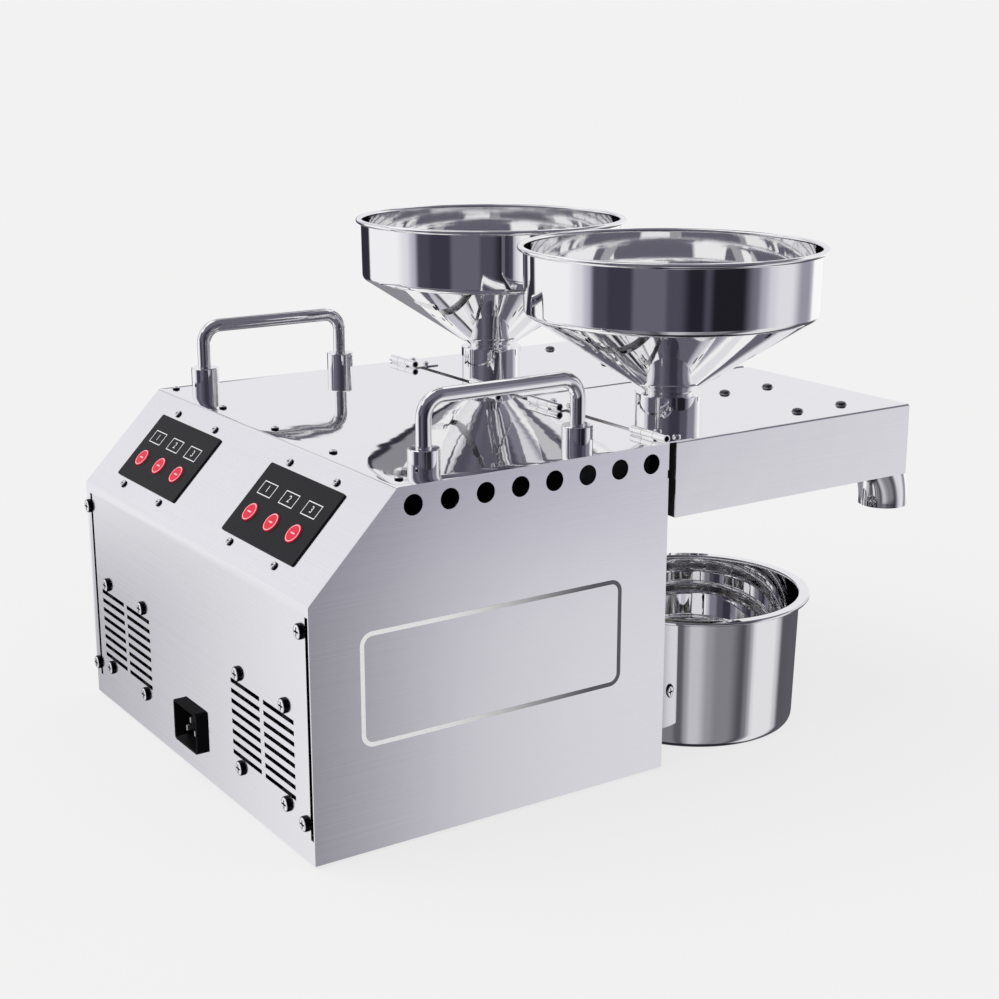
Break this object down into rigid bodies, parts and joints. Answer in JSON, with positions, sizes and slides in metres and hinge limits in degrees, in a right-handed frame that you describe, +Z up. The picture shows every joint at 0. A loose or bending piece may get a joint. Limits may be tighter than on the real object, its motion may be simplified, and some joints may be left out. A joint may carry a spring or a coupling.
{
  "type": "oil press",
  "caption": "Screw oil press: folded steel case with sloping keypads, hinged head covers, conical hoppers, geared augers, cake outlets and oil bowls.",
  "frame": {"origin": "on the table, under the middle of the overall box", "axes": "+Z up, +Y from the keypad front to the press heads at the rear, +X to the right as seen from the front"},
  "size_m": [0.4816, 0.6222, 0.3864],
  "materials": {
    "brushed_case": "fine brushed stainless sheet",
    "polished_sheet": "polished stainless sheet",
    "polished_steel": "mirror-polished stainless steel",
    "chrome_bar": "polished round bar and turned steel",
    "screw_steel": "bright plated screws",
    "black_plastic": "moulded black plastic",
    "pin_metal": "nickel-plated contact pins",
    "keypad_face": "smooth black panel",
    "button_red": "red buttons with a pale rim",
    "circuit_board": "green circuit board",
    "motor_paint": "dark grey enamel",
    "gear_case_iron": "cast and machined",
    "machined_steel": "turned steel",
    "bearing_steel": "ground bearing steel",
    "heater_brass": "brass-cased band heater",
    "foot_rubber": "moulded black rubber"
  },
  "bodies": {
    "root": {"barrel_bolts": "screw_steel", "base_plate": "brushed_case", "bearings": "bearing_steel", "case_hinge_knuckles": "chrome_bar", "case_screws": "screw_steel", "control_boards": "circuit_board", "fan_frames": "black_plastic", "fan_screws": "screw_steel", "feet": "foot_rubber", "front_shell": "brushed_case", "handle_sleeves": "chrome_bar", "heater_bands": "heater_brass", "hinge_pins": "chrome_bar", "inlet_housing": "black_plastic", "inlet_pins": "pin_metal", "left_cake_elbow": "polished_steel", "left_gearbox": "gear_case_iron", "left_handle": "chrome_bar", "left_keypad": "keypad_face", "left_motor": "motor_paint", "left_press_barrel": "machined_steel", "left_side_panel": "brushed_case", "oil_gutters": "polished_steel", "panel_screws": "screw_steel", "power_board": "circuit_board", "rear_panel": "brushed_case", "right_cake_elbow": "polished_steel", "right_gearbox": "gear_case_iron", "right_handle": "chrome_bar", "right_keypad": "keypad_face", "right_motor": "motor_paint", "right_press_barrel": "machined_steel", "right_side_panel": "brushed_case", "top_panel": "polished_sheet"},
    "right_cover": {"right_cover": "polished_sheet", "right_collar": "polished_steel", "right_cover_hinges": "chrome_bar", "right_heat_shield": "screw_steel"},
    "right_hopper": {"right_hopper": "polished_steel"},
    "right_bowl": {"right_bowl": "polished_steel"},
    "right_auger": {"right_auger": "machined_steel", "right_drive_gear": "machined_steel"},
    "right_pinion": {"right_motor_pinion": "machined_steel"},
    "right_fan": {"right_fan": "black_plastic"},
    "right_first_button": {"right_first_button": "button_red"},
    "right_second_button": {"right_second_button": "button_red"},
    "right_third_button": {"right_third_button": "button_red"},
    "left_cover": {"left_cover": "polished_sheet", "left_collar": "polished_steel", "left_cover_hinges": "chrome_bar", "left_heat_shield": "screw_steel"},
    "left_hopper": {"left_hopper": "polished_steel"},
    "left_bowl": {"left_bowl": "polished_steel"},
    "left_auger": {"left_auger": "machined_steel", "left_drive_gear": "machined_steel"},
    "left_pinion": {"left_motor_pinion": "machined_steel"},
    "left_fan": {"left_fan": "black_plastic"},
    "left_first_button": {"left_first_button": "button_red"},
    "left_second_button": {"left_second_button": "button_red"},
    "left_third_button": {"left_third_button": "button_red"}
  },
  "joints": [
    {"name": "right_cover_hinge", "type": "hinge", "parent": "root", "child": "right_cover", "pos_m": [0.0985, -0.0088, 0.2573], "axis": [1, 0, 0], "range_deg": [0, 22]},
    {"name": "right_hopper_lift", "type": "slide", "parent": "right_cover", "child": "right_hopper", "axis": [0, 0, 1], "range_m": [0, 0.06]},
    {"name": "right_bowl_slide", "type": "slide", "parent": "root", "child": "right_bowl", "axis": [0, 1, 0], "range_m": [0, 0.15]},
    {"name": "right_auger_spin", "type": "hinge", "parent": "root", "child": "right_auger", "pos_m": [0.1237, 0.0987, 0.213], "axis": [0, 1, 0], "continuous": true},
    {"name": "right_pinion_spin", "type": "hinge", "parent": "root", "child": "right_pinion", "pos_m": [0.1237, -0.0413, 0.168], "axis": [0, 1, 0], "continuous": true},
    {"name": "right_fan_spin", "type": "hinge", "parent": "root", "child": "right_fan", "pos_m": [0.12085, -0.2873, 0.0691], "axis": [0, 1, 0], "continuous": true},
    {"name": "right_first_press", "type": "slide", "parent": "root", "child": "right_first_button", "axis": [0, 0.7173, -0.6968], "range_m": [0, 0.001], "stiffness_N_per_m": 800, "springref_m": -0.0005},
    {"name": "right_second_press", "type": "slide", "parent": "root", "child": "right_second_button", "axis": [0, 0.7173, -0.6968], "range_m": [0, 0.001], "stiffness_N_per_m": 800, "springref_m": -0.0005},
    {"name": "right_third_press", "type": "slide", "parent": "root", "child": "right_third_button", "axis": [0, 0.7173, -0.6968], "range_m": [0, 0.001], "stiffness_N_per_m": 800, "springref_m": -0.0005},
    {"name": "left_cover_hinge", "type": "hinge", "parent": "root", "child": "left_cover", "pos_m": [-0.0985, -0.0088, 0.2573], "axis": [1, 0, 0], "range_deg": [0, 22]},
    {"name": "left_hopper_lift", "type": "slide", "parent": "left_cover", "child": "left_hopper", "axis": [0, 0, 1], "range_m": [0, 0.06]},
    {"name": "left_bowl_slide", "type": "slide", "parent": "root", "child": "left_bowl", "axis": [0, 1, 0], "range_m": [0, 0.15]},
    {"name": "left_auger_spin", "type": "hinge", "parent": "root", "child": "left_auger", "pos_m": [-0.1237, 0.0987, 0.213], "axis": [0, 1, 0], "continuous": true},
    {"name": "left_pinion_spin", "type": "hinge", "parent": "root", "child": "left_pinion", "pos_m": [-0.1237, -0.0413, 0.168], "axis": [0, 1, 0], "continuous": true},
    {"name": "left_fan_spin", "type": "hinge", "parent": "root", "child": "left_fan", "pos_m": [-0.12335, -0.2873, 0.0691], "axis": [0, 1, 0], "continuous": true},
    {"name": "left_first_press", "type": "slide", "parent": "root", "child": "left_first_button", "axis": [0, 0.7173, -0.6968], "range_m": [0, 0.001], "stiffness_N_per_m": 800, "springref_m": -0.0005},
    {"name": "left_second_press", "type": "slide", "parent": "root", "child": "left_second_button", "axis": [0, 0.7173, -0.6968], "range_m": [0, 0.001], "stiffness_N_per_m": 800, "springref_m": -0.0005},
    {"name": "left_third_press", "type": "slide", "parent": "root", "child": "left_third_button", "axis": [0, 0.7173, -0.6968], "range_m": [0, 0.001], "stiffness_N_per_m": 800, "springref_m": -0.0005}
  ],
  "couplings": [
    {"joint": "right_pinion_spin", "follows": "right_auger_spin", "ratio": -2},
    {"joint": "left_pinion_spin", "follows": "left_auger_spin", "ratio": -2}
  ]
}
